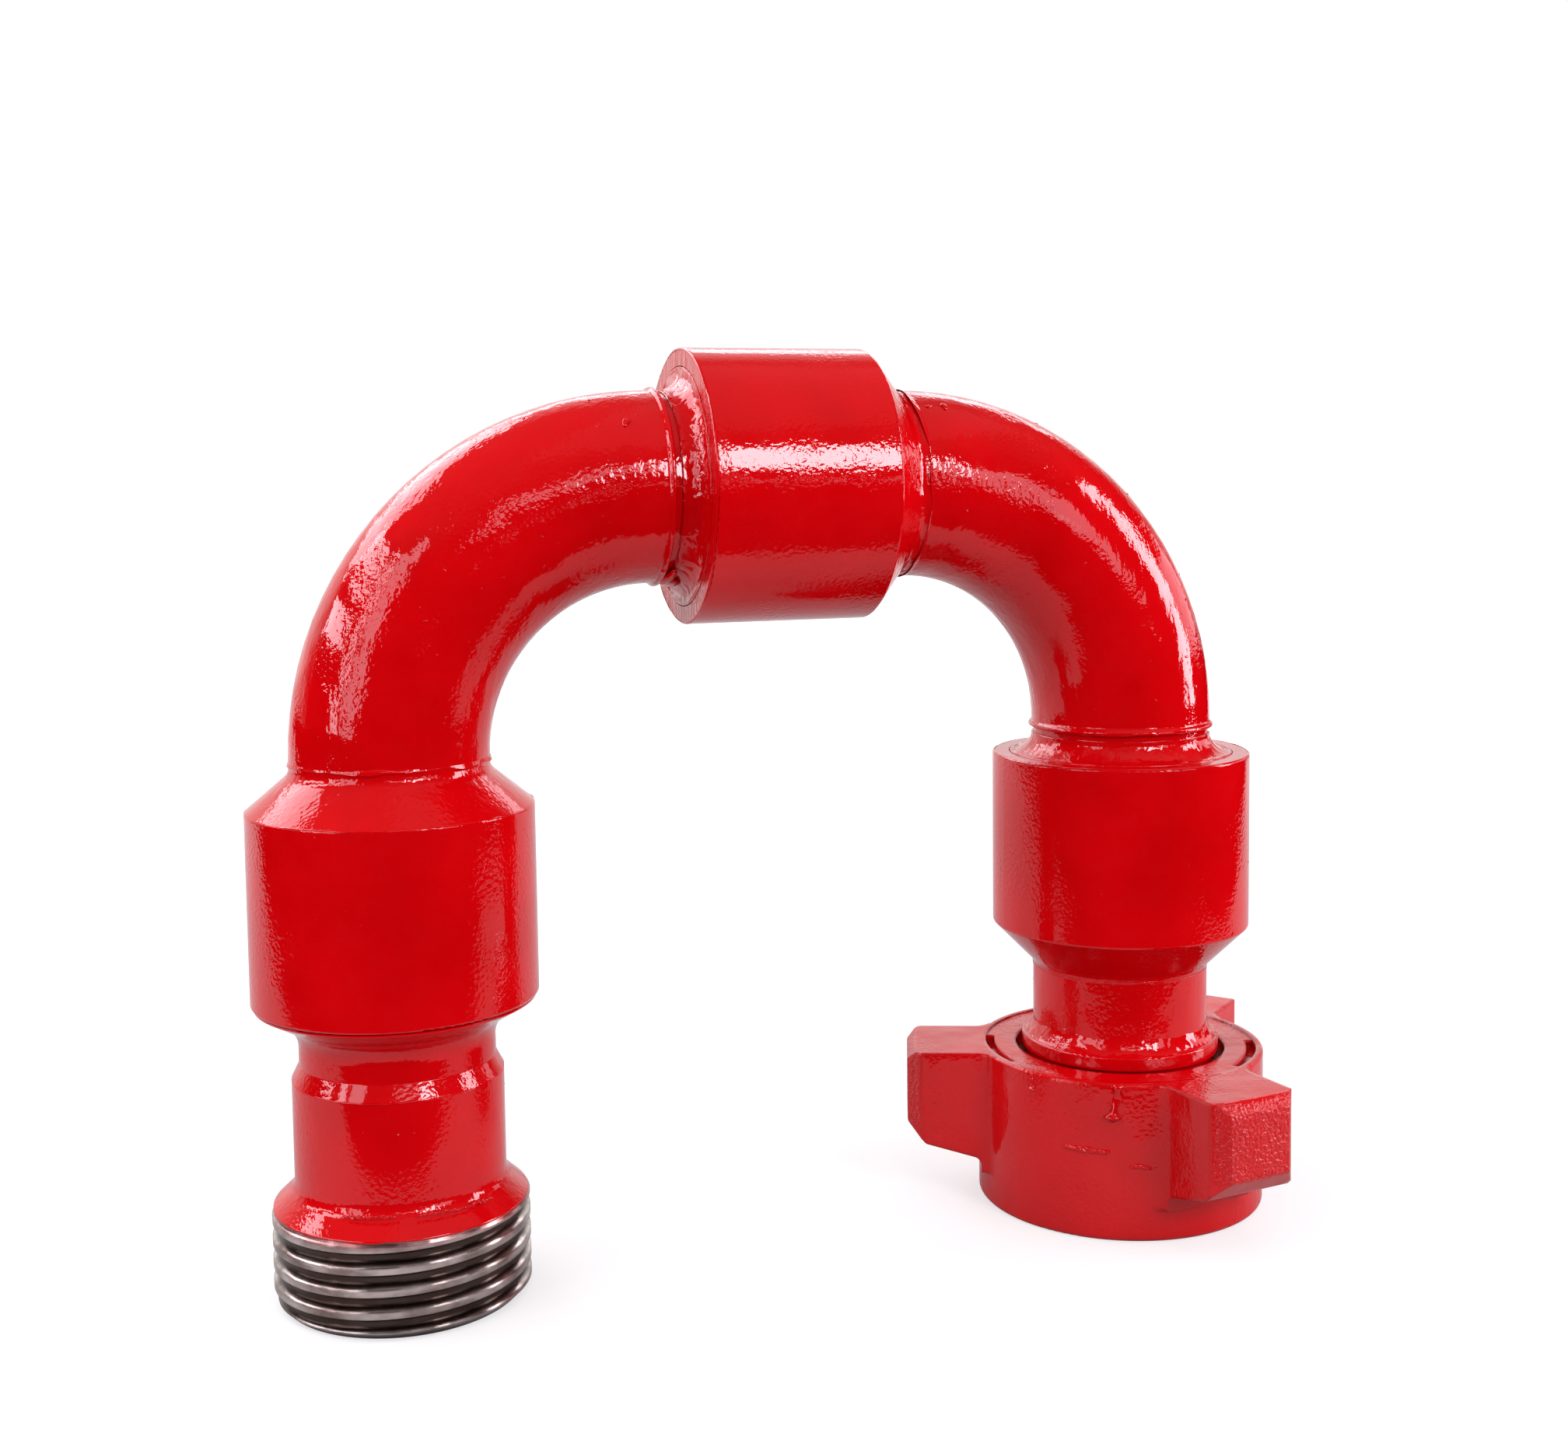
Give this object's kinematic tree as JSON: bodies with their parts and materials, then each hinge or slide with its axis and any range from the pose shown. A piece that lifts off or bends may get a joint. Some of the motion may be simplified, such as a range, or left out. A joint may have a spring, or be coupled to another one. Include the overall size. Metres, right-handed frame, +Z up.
{
  "type": "swivel joint",
  "caption": "Arched high-pressure pipe swivel with a threaded end, long-radius elbows, ball-race swivels and a wing-nut end, painted red.",
  "frame": {"origin": "on the floor, on the axis of the threaded sub, at the middle of its open end", "axes": "+Z up along the threaded sub, +X along the arch to the wing-nut leg, +Y to the hidden back with the grease fittings"},
  "size_m": [0.453, 0.1669, 0.3705],
  "materials": {
    "red_enamel": "glossy orange-peel enamel",
    "red_enamel_cast": "glossy enamel over a rough forging",
    "red_enamel_and_bare_thread": "glossy enamel above, bare machined steel thread below",
    "bare_steel": "machined",
    "spring_steel": "dark tempered",
    "bearing_steel": "polished balls",
    "black_rubber": "moulded",
    "brass_ring": "turned",
    "plug_steel": "overpainted steel plug",
    "zinc_fitting": "zinc plated"
  },
  "bodies": {
    "threaded_end": {"thread_sub": "red_enamel_and_bare_thread", "union_seal": "black_rubber"},
    "first_elbow": {"lower_elbow": "red_enamel", "lower_left_ball_rows": "bearing_steel", "lower_left_packing_ring": "black_rubber", "lower_left_backup_ring": "brass_ring", "lower_left_dust_seal": "black_rubber", "lower_left_ball_plugs": "plug_steel", "lower_left_grease_fitting": "zinc_fitting"},
    "second_elbow": {"upper_elbow": "red_enamel", "upper_ball_rows": "bearing_steel", "upper_packing_ring": "black_rubber", "upper_backup_ring": "brass_ring", "upper_dust_seal": "black_rubber", "upper_ball_plugs": "plug_steel", "upper_grease_fitting": "zinc_fitting"},
    "wing_end": {"wing_sub": "red_enamel", "lower_right_ball_rows": "bearing_steel", "lower_right_packing_ring": "black_rubber", "lower_right_backup_ring": "brass_ring", "lower_right_dust_seal": "black_rubber", "lower_right_ball_plugs": "plug_steel", "lower_right_grease_fitting": "zinc_fitting"},
    "nut_retainer": {"nut_segments": "bare_steel", "nut_snap_ring": "spring_steel"},
    "hammer_nut": {"wing_nut": "red_enamel_cast"}
  },
  "joints": [
    {"name": "lower_left_swivel", "type": "hinge", "parent": "threaded_end", "child": "first_elbow", "pos_m": [0, 0, 0.118], "axis": [0, 0, 1], "continuous": true},
    {"name": "upper_swivel", "type": "hinge", "parent": "first_elbow", "child": "second_elbow", "pos_m": [0.118, 0, 0.315], "axis": [1, 0, 0], "continuous": true},
    {"name": "lower_right_swivel", "type": "hinge", "parent": "second_elbow", "child": "wing_end", "pos_m": [0.315, 0, 0.197], "axis": [0, 0, 1], "continuous": true},
    {"name": "nut_travel", "type": "slide", "parent": "wing_end", "child": "nut_retainer", "axis": [0, 0, 1], "range_m": [-0.0117, 0.016]},
    {"name": "nut_spin", "type": "hinge", "parent": "nut_retainer", "child": "hammer_nut", "pos_m": [0.315, 0, 0.04], "axis": [0, 0, 1], "continuous": true}
  ]
}
